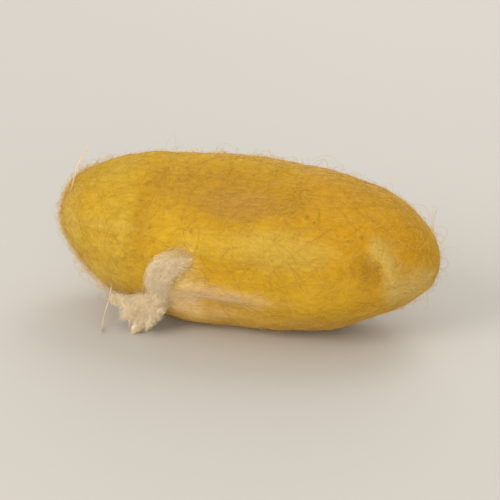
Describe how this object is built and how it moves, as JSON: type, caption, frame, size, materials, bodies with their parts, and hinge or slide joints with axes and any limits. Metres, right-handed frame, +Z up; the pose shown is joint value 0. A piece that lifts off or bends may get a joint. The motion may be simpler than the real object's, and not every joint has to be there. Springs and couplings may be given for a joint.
{
  "type": "silk cocoon",
  "caption": "Golden silkworm cocoon, an oval pod of felted silk with a wisp of pale floss on its front, lying on its pressed underside.",
  "frame": {"origin": "on the flat spot that the cocoon rests on, under the middle of its length", "axes": "+X along the cocoon towards its slimmer end, +Z up from the flat spot that it rests on, -Y its front, with the wisp of floss"},
  "size_m": [0.0338, 0.0165, 0.0153],
  "materials": {
    "silk": "golden felted raw silk, matt with a faint sheen",
    "floss": "loose fluffy silk fibre, off-white"
  },
  "bodies": {
    "root": {"cocoon": "silk"}
  },
  "joints": []
}
